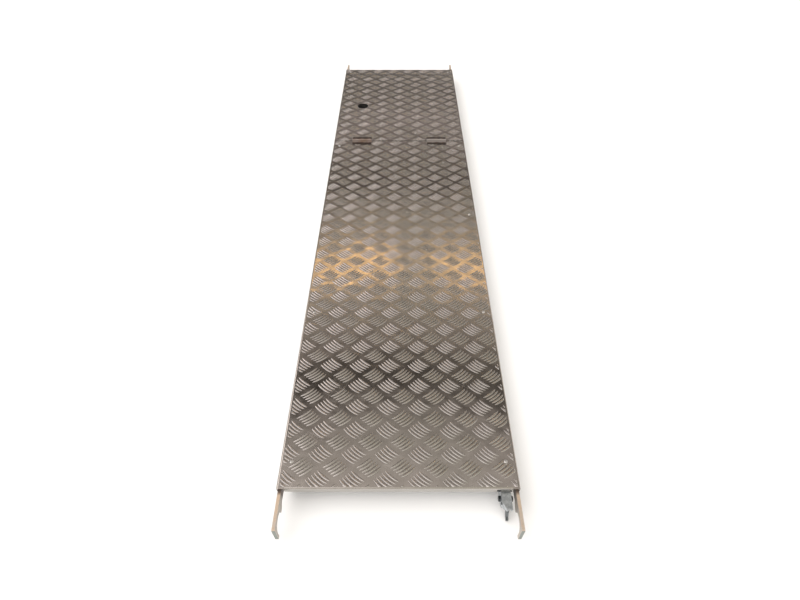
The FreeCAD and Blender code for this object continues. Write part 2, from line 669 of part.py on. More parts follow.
def lock_bracket_rivets():
    """Blind rivets from the bracket's back plate into the end beam."""
    grip = LOCK_SHEET_T + BEAM_WALL
    front_y = -END_BEAM_Y - BEAM_WIDTH / 2 - LOCK_SHEET_T
    made = []
    for x, z in LOCK_RIVETS:
        one = rivet(0, 0, 0, grip, RIVET_R, RIVET_HEAD, RIVET_TAIL)
        one.rotate(ORIGIN, X_AXIS, 90)
        one.translate(Vector(x, front_y, z))
        made.append(one)
    return group(made)


# ---- the whole assembly -------------------------------------------------------------
def all_nodes():
    rail = side_rail_right()
    near_beam = near_end_beam()
    hook = hook_near_right()
    nodes = {
        "main_deck_sheet": main_deck_sheet(),
        "hatch_sheet": hatch_sheet(),
        "end_strip_sheet": end_strip_sheet(),
        "side_rail_right": rail,
        "side_rail_left": mirrored(rail),
        "near_end_beam": near_beam,
        "cross_bearer_near": cross_beam(FIRST_BEARER_Y),
        "cross_bearer_middle": cross_beam(FIRST_BEARER_Y + FASTENING_PITCH),
        "hinge_beam": hinge_beam(),
        "hatch_landing_beam": turned(near_beam),
        "hook_near_right": hook,
        "hook_near_left": mirrored(hook),
        "hook_far_left": turned(hook),
        "hook_far_right": turned(mirrored(hook)),
        "hook_rivets": hook_rivets(),
        "deck_rivets": plate_rivets(deck_rivet_places()),
        "end_strip_rivets": plate_rivets(strip_rivet_places()),
        "hinge_rivets_deck": hinge_rivets(-1),
        "hinge_rivets_hatch": hinge_rivets(1),
        "hatch_rib_hinge_end": hatch_rib(0),
        "hatch_rib_free_end": hatch_rib(1),
    }
    for side, word in ((-1, "left"), (1, "right")):
        nodes["hinge_fixed_leaf_" + word] = hinge_leaf(side, -1)
        nodes["hinge_moving_leaf_" + word] = hinge_leaf(side, 1)
        nodes["hinge_pin_" + word] = hinge_pin(side)
        nodes["hatch_stringer_" + word] = hatch_stringer(side)
    lock = {
        "lock_bracket": lock_bracket(),
        "lock_claw": lock_claw(),
        "lock_pivot_bolt": lock_pivot_bolt(),
        "lock_pivot_nut": lock_pivot_nut(),
        "lock_spacers": lock_spacers(),
        "lock_stop_pin": lock_stop_pin(),
        "lock_bracket_rivets": lock_bracket_rivets(),
    }
    for name, shape in lock.items():
        nodes[name + "_near"] = shape
        nodes[name + "_far"] = turned(shape)
    return nodes


os.makedirs("parts", exist_ok=True)
for node, shape in all_nodes().items():
    shape.exportStep("parts/" + node + ".step")
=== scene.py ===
import math
import random

import bmesh
import bpy
import numpy as np
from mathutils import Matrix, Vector


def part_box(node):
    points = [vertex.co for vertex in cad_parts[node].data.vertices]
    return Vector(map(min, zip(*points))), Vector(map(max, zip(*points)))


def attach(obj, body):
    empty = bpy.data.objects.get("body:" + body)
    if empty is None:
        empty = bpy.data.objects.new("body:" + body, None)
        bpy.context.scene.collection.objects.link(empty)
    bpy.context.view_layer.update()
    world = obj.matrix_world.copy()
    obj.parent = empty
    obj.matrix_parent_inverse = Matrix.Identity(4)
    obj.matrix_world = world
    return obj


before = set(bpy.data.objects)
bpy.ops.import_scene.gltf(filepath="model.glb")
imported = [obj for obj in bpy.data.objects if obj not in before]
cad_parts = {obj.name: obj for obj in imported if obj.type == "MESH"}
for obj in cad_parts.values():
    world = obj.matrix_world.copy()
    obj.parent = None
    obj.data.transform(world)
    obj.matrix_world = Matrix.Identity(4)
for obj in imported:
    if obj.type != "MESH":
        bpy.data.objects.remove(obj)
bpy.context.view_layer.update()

MM = 0.001

# ---- places taken from the frame ------------------------------------------------------
MAIN_LOW, MAIN_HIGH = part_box("main_deck_sheet")
HATCH_LOW, HATCH_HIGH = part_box("hatch_sheet")
STRIP_LOW, STRIP_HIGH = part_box("end_strip_sheet")
DECK_TOP = MAIN_HIGH.z
HALF_WIDTH = MAIN_HIGH.x
NEAR_EDGE = MAIN_LOW.y
FAR_EDGE = STRIP_HIGH.y
PIN_LINE = (MAIN_HIGH.y + HATCH_LOW.y) / 2

# ---- camera, floor and key light ------------------------------------------------------
CAMERA_PLACE = Vector((4.0 * MM, NEAR_EDGE - 526.5 * MM, DECK_TOP + 1245.6 * MM))
CAMERA_BELOW_HORIZON = 46.9   # degrees
SENSOR_MM = 36.0
LENS_MM = 23.13
FLOOR_HALF = 400.0            # metres
FLOOR_LEVEL = -0.4 * MM       # just under the rails' feet
KEY_ENERGY = 2.6
KEY_WIDTH = math.radians(80.0)
KEY_FROM = Vector((-0.3, -0.25, 0.92))

# ---- one tread bar, in millimetres ----------------------------------------------------
BAR_LENGTH = 48.0
BAR_WIDTH = 8.0
BAR_HEIGHT = 1.5
BAR_SAG = 2.8                 # each bar bows towards the near end
BAR_ANGLE = 38.0              # to the deck's width, in degrees
BAR_TIP = -0.03               # height of a bar's tips, just inside the plate
# cross sections, as shares of half the length
BAR_STATIONS = (-0.92, -0.74, -0.5, -0.25, 0.0, 0.25, 0.5, 0.74, 0.92)
# outline of a section: shares of half the width and of the height
BAR_OUTLINE = (
    (-1.0, -0.08),
    (-0.6, 0.55),
    (-0.16, 0.98),
    (0.16, 0.98),
    (0.6, 0.55),
    (1.0, -0.08),
)
# how far the bars differ from each other
ANGLE_SPREAD = (-0.8, 0.8)
LENGTH_SPREAD = (0.97, 1.02)
WIDTH_SPREAD = (0.96, 1.04)
HEIGHT_SPREAD = (0.9, 1.05)

# ---- tread pattern, in millimetres ----------------------------------------------------
BARS_PER_GROUP = 5
BAR_STEP = (7.0, 5.8)         # from one bar of a group to the next, across and along
GROUP_REACH = 40.0            # a group's bars all lie within this of its centre
SPARE_GROUPS = 2              # rows and columns laid out past each end of a plate
RIM = 8.0                     # smooth rim along the folded long edges
END_RIM = 5.0                 # smooth rim along the folded ends
SEAM_RIM = 0.6                # the tread runs up to the sawn edges of the joints
PITCH = (86.0, 70.4)          # from group to group, across and along
MAIN_FIRST = (14.4, 22.0)     # first group, from the left edge and the near edge
MAIN_SKEW = math.radians(0.526)
HATCH_PITCH = (87.0, 72.4)
HATCH_FIRST = (44.0, 705.5)   # first group, from the left edge and the far edge
STRIP_FIRST = (10.0, 26.0)    # likewise, to the last row of groups
HINGE_ROOM = (1.5, 1.0)       # left free round a hinge, across and along
RIVET_ROOM = 6.0              # radius left free about a rivet
HOLE_CENTRE = (-186.5, 780.5)
HOLE_ROOM = 27.5              # radius left free about the finger hole
ROOM_DEPTH = 0.02             # height of the solids that cut the bars, in metres
ROOM_SIDES = 40               # of the round ones

# ---- weld beads, in millimetres -------------------------------------------------------
WELD_LEG = 3.6
WELD_ROOT = 0.3               # the bead's hidden corner lies this far inside the metal
WELD_RIPPLE = 2.6             # from one ripple to the next
WELD_STATIONS = 4             # to a ripple
WELD_ARC = (0.0, 22.5, 45.0, 67.5, 90.0)
CROSS_BEAMS = (
    "near_end_beam",
    "cross_bearer_near",
    "cross_bearer_middle",
    "hinge_beam",
    "hatch_landing_beam",
)
BEAM_BEAD_ENDS = (1.5, 5.0)   # a bead stops this far from the beam's underside and top
BEAM_FOOT_ENDS = 2.5          # and this far from its sides
STRINGER_BEAD_ENDS = (1.0, 3.0)
STITCH = 34.0                 # length of one short weld to the hatch plate
RIB_STITCHES = (-212.0, -158.0, -36.0, 36.0, 158.0, 212.0)   # places across the deck
STRINGER_STITCHES = (0.14, 0.32, 0.5, 0.68, 0.86)            # shares of its length

# ---- studio dome: (share, colour) stops -----------------------------------------------
# the ceiling, by the height of the direction: 0 is level and 1 straight up
CEILING = [
    (0.360, (0.27, 0.25, 0.24)),
    (0.396, (0.26, 0.24, 0.23)),
    (0.404, (0.02, 0.018, 0.016)),
    (0.428, (0.03, 0.027, 0.024)),
    (0.440, (0.35, 0.31, 0.29)),
    (0.500, (0.29, 0.25, 0.24)),
    (0.520, (0.27, 0.235, 0.22)),
    (0.532, (0.05, 0.043, 0.038)),
    (0.562, (0.04, 0.036, 0.032)),
    (0.585, (0.31, 0.28, 0.245)),
    (0.630, (0.42, 0.38, 0.33)),
    (0.665, (0.54, 0.47, 0.38)),
    (0.700, (0.46, 0.42, 0.36)),
    (0.730, (0.36, 0.33, 0.29)),
    (0.780, (0.28, 0.245, 0.22)),
    (0.805, (0.09, 0.08, 0.07)),
    (0.816, (0.02, 0.018, 0.015)),
    (0.830, (0.02, 0.018, 0.015)),
    (0.842, (0.15, 0.13, 0.12)),
    (0.858, (0.32, 0.29, 0.265)),
    (0.885, (0.44, 0.405, 0.375)),
    (0.925, (0.58, 0.535, 0.50)),
    (1.000, (0.60, 0.57, 0.54)),
]
LAMP_HEIGHT = [(0.664, 0.0), (0.676, 1.0), (0.684, 1.0), (0.696, 0.0)]
LAMP_COLOUR = (2.60, 1.60, 0.67)
# two lamps end to end with a gap between them, from left to right
LAMP_TUBES = [
    (0.405, 0.0),
    (0.415, 1.0),
    (0.492, 1.0),
    (0.504, 0.0),
    (0.520, 0.0),
    (0.530, 1.0),
    (0.60, 1.0),
    (0.61, 0.0),
]
# the bright left side, from behind to ahead
WINDOW = [
    (0.36, (2.30, 2.16, 2.12)),
    (0.41, (1.50, 1.41, 1.38)),
    (0.44, (1.02, 0.96, 0.94)),
    (0.50, (0.50, 0.47, 0.46)),
    (0.57, (0.62, 0.585, 0.57)),
    (0.64, (1.15, 1.08, 1.06)),
    (0.68, (1.40, 1.315, 1.29)),
    (0.74, (1.95, 1.83, 1.80)),
]
# the dim right side, from behind to ahead
WALL = [
    (0.42, (0.68, 0.65, 0.52)),
    (0.475, (0.56, 0.54, 0.435)),
    (0.525, (0.28, 0.27, 0.225)),
    (0.57, (0.42, 0.405, 0.335)),
    (0.62, (0.40, 0.385, 0.32)),
    (0.68, (0.28, 0.27, 0.235)),
]
HORIZON = [(0.42, (0.19, 0.18, 0.155)), (0.58, (0.50, 0.47, 0.455))]
SIDE_SLANT = 0.55             # the side lights reach further in overhead than ahead


# ---- small node helper ----------------------------------------------------------------
class Nodes:
    """Adds and links shader nodes in one node tree."""

    def __init__(self, tree):
        self.tree = tree

    def add(self, kind, inputs=None, **settings):
        """A new node; an input is a value or the socket that feeds it."""
        node = self.tree.nodes.new(kind)
        for name, value in settings.items():
            setattr(node, name, value)
        for key, value in (inputs or {}).items():
            socket = node.inputs[key]
            if isinstance(value, bpy.types.NodeSocket):
                self.tree.links.new(value, socket)
            else:
                socket.default_value = value
        return node

    def math(self, operation, a, b=0.0):
        """The result of one operation on one or two values."""
        return self.add("ShaderNodeMath", {0: a, 1: b}, operation=operation).outputs[0]

    def rescaled(self, value, factor, offset):
        """value times factor, plus offset."""
        return self.math("ADD", self.math("MULTIPLY", value, factor), offset)

    def weighted(self, a, share_a, b, share_b):
        """The sum of two values, each times its share."""
        return self.math(
            "ADD", self.math("MULTIPLY", a, share_a), self.math("MULTIPLY", b, share_b)
        )

    def split(self, vector):
        """The X, Y and Z outputs of a vector."""
        return self.add("ShaderNodeSeparateXYZ", {0: vector}).outputs

    def scaled(self, vector, scale):
        """The vector stretched by scale along X, Y and Z."""
        node = self.add("ShaderNodeMapping", {"Vector": vector, "Scale": scale})
        return node.outputs["Vector"]

    def noise(self, vector, scale, detail=3.0, roughness=0.55, distortion=0.0):
        """Noise between 0 and 1, mostly near 0.5."""
        inputs = {
            "Vector": vector,
            "Scale": scale,
            "Detail": detail,
            "Roughness": roughness,
            "Distortion": distortion,
        }
        return self.add("ShaderNodeTexNoise", inputs).outputs["Fac"]

    def ramp(self, factor, stops, smooth=False):
        """A value or colour ramp from (position, value or colour) stops."""
        node = self.add("ShaderNodeValToRGB", {"Fac": factor})
        ramp = node.color_ramp
        ramp.interpolation = "EASE" if smooth else "LINEAR"
        while len(ramp.elements) < len(stops):
            ramp.elements.new(0.5)
        for element, (position, value) in zip(ramp.elements, stops):
            element.position = position
            colour = value if isinstance(value, (tuple, list)) else (value,) * 3
            element.color = (*colour, 1.0)
        return node.outputs["Color"]

    def mix(self, factor, a, b):
        """A mix of two colours."""
        node = self.add("ShaderNodeMix", data_type="RGBA")
        for key, value in ((0, factor), (6, a), (7, b)):
            socket = node.inputs[key]
            if isinstance(value, bpy.types.NodeSocket):
                self.tree.links.new(value, socket)
            elif key == 0:
                socket.default_value = value
            else:
                socket.default_value = (*value, 1.0)
        return node.outputs[2]

    def bump(self, height, strength, distance, normal=None):
        """A bumped normal, on top of another one if it is given."""
        inputs = {"Height": height, "Strength": strength, "Distance": distance}
        if normal is not None:
            inputs["Normal"] = normal
        return self.add("ShaderNodeBump", inputs).outputs["Normal"]


def new_material(name, metallic):
    """A material with a Principled shader; returns it with its node helper and shader."""
    material = bpy.data.materials.new(name)
    material.use_nodes = True
    shader = material.node_tree.nodes["Principled BSDF"]
    shader.inputs["Metallic"].default_value = metallic
    return material, Nodes(material.node_tree), shader


def connect(nodes, shader, **sockets):
    """Links or sets the shader's sockets by name, with _ for spaces."""
    for name, value in sockets.items():
        socket = shader.inputs[name.replace("_", " ")]
        if isinstance(value, bpy.types.NodeSocket):
            nodes.tree.links.new(value, socket)
        else:
            socket.default_value = value


def place_of(nodes):
    """Coordinates fixed to the object, in metres; they move with the body."""
    return nodes.add("ShaderNodeTexCoord").outputs["Object"]


def facing_of(nodes, axis):
    """How squarely the surface faces along one of the object's axes, either way."""
    normal = nodes.split(nodes.add("ShaderNodeTexCoord").outputs["Normal"])
    return nodes.math("ABSOLUTE", normal[axis])


# ---- materials ------------------------------------------------------------------------
def scratches(nodes, place, angle, density):
    """Sparse fine straight scratches, 1 on a scratch and 0 elsewhere."""
    turned = nodes.add("ShaderNodeMapping", {"Vector": place, "Rotation": (0, 0, angle)})
    stretched = nodes.scaled(turned.outputs["Vector"], (density, density * 0.06, density))
    cells = nodes.add(
        "ShaderNodeTexVoronoi", {"Vector": stretched, "Scale": 1.0}, feature="DISTANCE_TO_EDGE"
    )
    line = nodes.math("LESS_THAN", cells.outputs["Distance"], 0.012)
    patches = nodes.ramp(nodes.noise(place, 9.0), [(0.52, 0.0), (0.66, 1.0)])
    return nodes.math("MULTIPLY", line, patches)


def tread_metal(name, is_bar):
    """Warm mill-finish aluminium; the bars are brighter and more satin than the ground."""
    material, n, shader = new_material(name, 1.0)
    place = place_of(n)
    rolled = n.noise(n.scaled(place, (420, 5, 420)), 1.0, detail=3.0)
    cloud = n.noise(place, 3.1, detail=4.0, roughness=0.6)
    stain = n.noise(place, 17.0, detail=5.0, roughness=0.65, distortion=0.6)
    grain = n.noise(place, 1300.0, detail=1.0)
    waviness = n.noise(place, 21.0, detail=1.5)
    if is_bar:
        clean, dull = (0.78, 0.735, 0.71), (0.67, 0.625, 0.595)
        smooth, rough = 0.19, 0.28
    else:
        clean, dull = (0.66, 0.612, 0.575), (0.545, 0.505, 0.47)
        smooth, rough = 0.09, 0.18
    base = n.mix(n.ramp(stain, [(0.38, 0.0), (0.72, 1.0)]), clean, dull)
    base = n.mix(n.ramp(cloud, [(0.42, 0.0), (0.66, 0.35)]), base, (0.52, 0.51, 0.45))
    base = n.mix(n.ramp(rolled, [(0.35, 0.0), (0.7, 0.22)]), base, (0.42, 0.385, 0.35))
    flange = n.ramp(facing_of(n, "Z"), [(0.2, 0.75), (0.7, 0.0)])
    base = n.mix(flange, base, (0.36, 0.345, 0.325))
    marks = n.math(
        "MAXIMUM", scratches(n, place, 0.5, 60.0), scratches(n, place, -1.1, 45.0)
    )
    base = n.mix(n.math("MULTIPLY", marks, 0.35), base, (0.85, 0.82, 0.79))
    smear = n.ramp(n.weighted(cloud, 0.5, stain, 0.5), [(0.35, 0.0), (0.65, 1.0)])
    roughness = n.rescaled(smear, rough - smooth, smooth)
    height = n.weighted(rolled, 0.3, grain, 0.08)
    normal = n.bump(waviness, 1.0, 0.0007)
    normal = n.bump(height, 0.10, 0.0004, normal)
    normal = n.bump(n.math("MULTIPLY", marks, -1.0), 0.2, 0.0002, normal)
    connect(n, shader, Base_Color=base, Roughness=roughness, Normal=normal)
    return material


def extruded_metal(name, along):
    """Satin aluminium with fine die lines along one axis, dull oxide patches and scuffs."""
    material, n, shader = new_material(name, 1.0)
    place = place_of(n)
    fine = [1500.0, 1500.0, 1500.0]
    fine["XYZ".index(along)] = 6.0
    broad = [260.0, 260.0, 260.0]
    broad["XYZ".index(along)] = 2.0
    die = n.noise(n.scaled(place, fine), 1.0, detail=2.0)
    band = n.noise(n.scaled(place, broad), 1.0, detail=2.0)
    cloud = n.noise(place, 9.0, detail=6.0, roughness=0.62, distortion=0.5)
    patches = n.ramp(cloud, [(0.38, 0.0), (0.68, 1.0)])
    base = n.mix(patches, (0.60, 0.59, 0.575), (0.43, 0.42, 0.41))
    base = n.mix(n.ramp(band, [(0.35, 0.0), (0.75, 0.45)]), base, (0.36, 0.355, 0.35))
    base = n.mix(n.ramp(die, [(0.35, 0.0), (0.75, 0.25)]), base, (0.30, 0.295, 0.29))
    marks = scratches(n, place, 0.35, 50.0)
    base = n.mix(n.math("MULTIPLY", marks, 0.5), base, (0.80, 0.79, 0.78))
    roughness = n.rescaled(cloud, 0.28, 0.24)
    normal = n.bump(n.math("ADD", die, n.math("MULTIPLY", band, 0.6)), 0.15, 0.0004)
    connect(n, shader, Base_Color=base, Roughness=roughness, Normal=normal)
    return material


def hook_metal():
    """Tan passivated plate with greyer flat sides, grey sheared ends and a painted shadow where the
    deck's end shades its root.
    """
    material, n, shader = new_material("hook_plate", 0.55)
    place = place_of(n)
    cloud = n.noise(place, 26.0, detail=5.0, roughness=0.65, distortion=0.4)
    speck = n.noise(place, 420.0, detail=3.0)
    worn = n.ramp(cloud, [(0.36, 0.0), (0.68, 1.0)])
    tan = n.mix(worn, (0.66, 0.50, 0.36), (0.58, 0.50, 0.43))
    tan = n.mix(n.ramp(speck, [(0.56, 0.0), (0.72, 0.5)]), tan, (0.36, 0.23, 0.15))
    flat_side = n.ramp(facing_of(n, "X"), [(0.7, 0.0), (0.9, 0.7)])
    tan = n.mix(flat_side, tan, (0.44, 0.43, 0.405))
    grey = n.mix(cloud, (0.20, 0.225, 0.195), (0.30, 0.32, 0.30))
    end_face = n.ramp(facing_of(n, "Y"), [(0.8, 0.0), (0.93, 1.0)])
    base = n.mix(end_face, tan, grey)
    # painted shadow of the deck's end: the root is darkened between 16 mm inside the deck's end and
    # 11 mm past it, with a ragged edge
    from_middle = n.math("ABSOLUTE", n.split(place)["Y"])
    raggedness = n.math("MULTIPLY", n.math("SUBTRACT", cloud, 0.5), 8.0 * MM)
    ragged = n.math("ADD", from_middle, raggedness)
    past_start = n.math("SUBTRACT", ragged, FAR_EDGE - 20.0 * MM)
    root_shadow_stops = [(4.0 * MM, 0.0), (12.0 * MM, 0.9), (24.0 * MM, 0.9), (31.0 * MM, 0.0)]
    base = n.mix(n.ramp(past_start, root_shadow_stops), base, (0.16, 0.12, 0.10))
    roughness = n.rescaled(cloud, 0.25, 0.32)
    normal = n.bump(n.weighted(cloud, 0.5, speck, 0.5), 0.25, 0.0006)
    connect(n, shader, Base_Color=base, Roughness=roughness, Normal=normal)
    return material


def galvanised_metal(name, light, dark):
    """Zinc with a soft spangle and dull clouds."""
    material, n, shader = new_material(name, 0.85)
    place = place_of(n)
    spangle = n.add("ShaderNodeTexVoronoi", {"Vector": place, "Scale": 210.0}, feature="F1")
    tone = n.add("ShaderNodeSeparateColor", {0: spangle.outputs["Color"]}).outputs[0]
    cloud = n.noise(place, 38.0, detail=4.0, distortion=0.5)
    factor = n.weighted(tone, 0.45, cloud, 0.6)
    base = n.mix(n.ramp(factor, [(0.25, 0.0), (0.8, 1.0)]), light, dark)
    roughness = n.rescaled(tone, 0.16, 0.3)
    normal = n.bump(n.weighted(cloud, 0.7, tone, 0.3), 0.2, 0.0005)
    connect(n, shader, Base_Color=base, Roughness=roughness, Normal=normal)
    return material


def hinge_metal():
    """Dull zinc leaves with rust on the left hinge; their outer edges are dark with grime and
    painted shade.
    """
    material, n, shader = new_material("hinge_leaf", 0.8)
    place = place_of(n)
    where = n.split(place)
    left = n.math("LESS_THAN", where["X"], 0.0)
    off_pin = n.math("ABSOLUTE", n.math("SUBTRACT", where["Y"], PIN_LINE))
    cloud = n.noise(place, 60.0, detail=5.0, roughness=0.7, distortion=0.8)
    dashes = n.noise(n.scaled(place, (1.0, 0.35, 1.0)), 95.0, detail=3.0, roughness=0.6)
    raggedness = n.math("MULTIPLY", n.math("SUBTRACT", dashes, 0.5), 26.0 * MM)
    ragged = n.math("ADD", off_pin, raggedness)
    # the leaves' dark outer edges are grime together with painted shade of the gaps beside them
    grime_and_shade = n.ramp(ragged, [(13.0 * MM, 0.0), (17.0 * MM, 0.94)])
    rust = n.math("MULTIPLY", n.ramp(cloud, [(0.40, 0.25), (0.58, 0.8)]), left)
    zinc = n.mix(n.noise(place, 240.0), (0.54, 0.495, 0.47), (0.40, 0.365, 0.345))
    base = n.mix(rust, zinc, (0.33, 0.215, 0.155))
    base = n.mix(grime_and_shade, base, (0.055, 0.042, 0.036))
    roughness = n.rescaled(n.math("MAXIMUM", rust, grime_and_shade), 0.35, 0.32)
    normal = n.bump(cloud, 0.25, 0.0004)
    connect(n, shader, Base_Color=base, Roughness=roughness, Normal=normal)
    return material


def dark_fixing_metal():
    """Blackened, slightly rusted steel."""
    material, n, shader = new_material("hinge_fixing", 0.6)
    cloud = n.noise(place_of(n), 300.0, detail=4.0, roughness=0.7)
    rust = n.ramp(cloud, [(0.42, 0.0), (0.66, 1.0)])
    base = n.mix(rust, (0.075, 0.055, 0.045), (0.19, 0.10, 0.06))
    roughness = n.rescaled(cloud, 0.3, 0.35)
    normal = n.bump(cloud, 0.3, 0.0003)
    connect(n, shader, Base_Color=base, Roughness=roughness, Normal=normal)
    return material


def fastener_metal(name, colour, dark, rough):
    """Plain fastener metal with handling marks."""
    material, n, shader = new_material(name, 1.0)
    cloud = n.noise(place_of(n), 160.0, detail=4.0, roughness=0.6)
    base = n.mix(n.ramp(cloud, [(0.4, 0.0), (0.7, 1.0)]), colour, dark)
    roughness = n.rescaled(cloud, 0.2, rough)
    normal = n.bump(cloud, 0.15, 0.0003)
    connect(n, shader, Base_Color=base, Roughness=roughness, Normal=normal)
    return material


def weld_metal():
    """Matt, slightly sooty weld metal."""
    material, n, shader = new_material("weld_bead", 0.9)
    cloud = n.noise(place_of(n), 220.0, detail=4.0)
    base = n.mix(cloud, (0.62, 0.61, 0.60), (0.36, 0.35, 0.34))
    connect(n, shader, Base_Color=base, Roughness=n.rescaled(cloud, 0.2, 0.38))
    return material


# ---- tread ----------------------------------------------------------------------------
def piece_from_mesh(name, mesh, material, body):
    """Adds a piece to the visual model, riding on a body."""
    piece = bpy.data.objects.new(name, mesh)
    bpy.context.scene.collection.objects.link(piece)
    mesh.materials.clear()
    mesh.materials.append(material)
    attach(piece, body)


def bar_template():
    """Vertices (along, across, height), as shares of a bar's size, and faces of one bar."""
    verts = [(-1.0, 0.0, BAR_TIP)]
    for s in BAR_STATIONS:
        width = 1 - abs(s) ** 4       # blunt ends seen from above
        rise = 1 - abs(s) ** 2.2      # the crown sinks gently towards the ends
        for t, h in BAR_OUTLINE:
            verts.append((s, t * width, h * rise if h > 0 else h))
    verts.append((1.0, 0.0, BAR_TIP))
    last = len(verts) - 1
    columns = len(BAR_OUTLINE)
    rows = len(BAR_STATIONS)

    def at(row, column):
        """The number of the vertex at one place of a section."""
        return 1 + row * columns + column

    faces = []
    for c in range(columns - 1):
        faces.append((0, at(0, c), at(0, c + 1)))
        faces.append((last, at(rows - 1, c + 1), at(rows - 1, c)))
        for r in range(rows - 1):
            faces.append((at(r, c), at(r + 1, c), at(r + 1, c + 1), at(r, c + 1)))
    one_side = [at(r, 0) for r in range(rows)]
    other_side = [at(r, columns - 1) for r in range(rows)]
    faces.append((0, *other_side, last, *one_side[::-1]))
    return np.array(verts), faces


def bar_points(template, x, y, way, rng):
    """One bar about (x, y) in millimetres; way is 1 where it falls to the right, -1 to the left."""
    angle = math.radians(BAR_ANGLE + rng.uniform(*ANGLE_SPREAD))
    along = np.array((math.cos(angle), -way * math.sin(angle)))
    away = np.array((-along[1], along[0]))       # across the bar, towards the far end
    half_length = BAR_LENGTH / 2 * rng.uniform(*LENGTH_SPREAD)
    half_width = BAR_WIDTH / 2 * rng.uniform(*WIDTH_SPREAD)
    height = BAR_HEIGHT * rng.uniform(*HEIGHT_SPREAD)
    s, t, h = template.T
    sag = BAR_SAG * (0.4 - s * s)                # the middle goes one way, the tips the other
    plan = np.outer(s * half_length, along) + np.outer(t * half_width, away)
    plan = plan + np.outer(sag, -away)
    return np.column_stack((plan[:, 0] + x, plan[:, 1] + y, h * height))


def group_centres(low, high, first, pitch, skew=0.0):
    """Centres and ways of the bar groups that can reach a plate, on a lattice turned by skew."""
    columns = int((high[0] - low[0]) / pitch[0]) + 2 * SPARE_GROUPS
    rows = int((high[1] - low[1]) / pitch[1]) + 2 * SPARE_GROUPS
    centres = []
    for shift, way in ((0.0, 1), (0.5, -1)):
        for column in range(-SPARE_GROUPS, columns):
            for row in range(-SPARE_GROUPS, rows):
                u = (column + shift) * pitch[0]
                v = (row + shift) * pitch[1]
                x = first[0] + u * math.cos(skew) + v * math.sin(skew)
                y = first[1] - u * math.sin(skew) + v * math.cos(skew)
                across = low[0] - GROUP_REACH < x < high[0] + GROUP_REACH
                along = low[1] - GROUP_REACH < y < high[1] + GROUP_REACH
                if across and along:
                    centres.append((x, y, way))
    return centres


def lay_bars(template, low, high, centres, rooms, rng):
    """Points of the bars on one plate: those clear of every room, and those to be cut."""
    clear, to_cut = [], []
    for x, y, way in centres:
        for k in range(BARS_PER_GROUP):
            step = k - (BARS_PER_GROUP - 1) / 2
            bar_x = x - step * BAR_STEP[0] * way
            bar_y = y - step * BAR_STEP[1]
            points = bar_points(template, bar_x, bar_y, way, rng)
            (x0, y0, _), (x1, y1, _) = points.min(0), points.max(0)
            if x1 <= low[0] or x0 >= high[0] or y1 <= low[1] or y0 >= high[1]:
                continue
            blocked = any(
                x0 < rx + half_x and x1 > rx - half_x and y0 < ry + half_y and y1 > ry - half_y
                for rx, ry, half_x, half_y, _ in rooms
            )
            (to_cut if blocked else clear).append(points)
    return clear, to_cut


def mesh_of_bars(name, bars, faces):
    """One mesh of many bars, from their points in millimetres."""
    verts = np.concatenate(bars) * MM
    verts[:, 2] += DECK_TOP
    size = len(bars[0])
    every_face = [tuple(i + b * size for i in face) for b in range(len(bars)) for face in faces]
    mesh = bpy.data.meshes.new(name)
    mesh.from_pydata(verts.tolist(), [], every_face)
    mesh.update()
    return mesh


def cut_away(mesh, rooms):
    """The bars with the rooms of hinges, rivet heads and the finger hole taken out."""
    bm = bmesh.new()
    for x, y, half_x, half_y, is_round in rooms:
        if is_round:
            made = bmesh.ops.create_cone(
                bm,
                cap_ends=True,
                segments=ROOM_SIDES,
                radius1=half_x * MM,
                radius2=half_x * MM,
                depth=ROOM_DEPTH,
            )
        else:
            made = bmesh.ops.create_cube(bm, size=1.0)
            size = (2 * half_x * MM, 2 * half_y * MM, ROOM_DEPTH)
            bmesh.ops.scale(bm, vec=size, verts=made["verts"])
        bmesh.ops.translate(bm, vec=(x * MM, y * MM, DECK_TOP), verts=made["verts"])
    cutter_mesh = bpy.data.meshes.new("cutter")
    bm.to_mesh(cutter_mesh)
    bm.free()
    cutter = bpy.data.objects.new("cutter", cutter_mesh)
    bars = bpy.data.objects.new("bars", mesh)
    for o in (cutter, bars):
        bpy.context.scene.collection.objects.link(o)
    boolean = bars.modifiers.new("cut", "BOOLEAN")
    boolean.operation = "DIFFERENCE"
    boolean.object = cutter
    boolean.solver = "EXACT"
    graph = bpy.context.evaluated_depsgraph_get()
    result = bpy.data.meshes.new_from_object(bars.evaluated_get(graph))
    bpy.data.objects.remove(bars)
    bpy.data.objects.remove(cutter)
    return result


def clip(bm, place, outward):
    """Cuts everything beyond a plane away and closes the cut bars."""
    geometry = bm.verts[:] + bm.edges[:] + bm.faces[:]
    cut = bmesh.ops.bisect_plane(
        bm, geom=geometry, plane_co=place, plane_no=outward, clear_outer=True, dist=1e-7
    )
    edges = [e for e in cut["geom_cut"] if isinstance(e, bmesh.types.BMEdge) and e.is_valid]
    bmesh.ops.holes_fill(bm, edges=edges, sides=0)


def tread_bars(name, body, area, centres, rooms, material):
    """The raised bars of one plate; a room is (x, y, half x, half y, is round), in millimetres."""
    low, high = area
    template, faces = bar_template()
    clear, to_cut = lay_bars(template, low, high, centres, rooms, random.Random(name))
    bm = bmesh.new()
    bm.from_mesh(mesh_of_bars(name, clear, faces))
    if to_cut:
        bm.from_mesh(cut_away(mesh_of_bars(name, to_cut, faces), rooms))
    for place, outward in (
        ((low[0] * MM, 0, 0), (-1, 0, 0)),
        ((high[0] * MM, 0, 0), (1, 0, 0)),
        ((0, low[1] * MM, 0), (0, -1, 0)),
        ((0, high[1] * MM, 0), (0, 1, 0)),
    ):
        clip(bm, place, outward)
    for face in bm.faces:
        face.smooth = len(face.verts) <= 4
    mesh = bpy.data.meshes.new(name)
    bm.to_mesh(mesh)
    bm.free()
    piece_from_mesh(name, mesh, material, body)


def tread_area(low, high, near_rim, far_rim):
    """The corners of the part of a plate that bars cover, in millimetres."""
    return (
        (low.x / MM + RIM, low.y / MM + near_rim),
        (high.x / MM - RIM, high.y / MM - far_rim),
    )


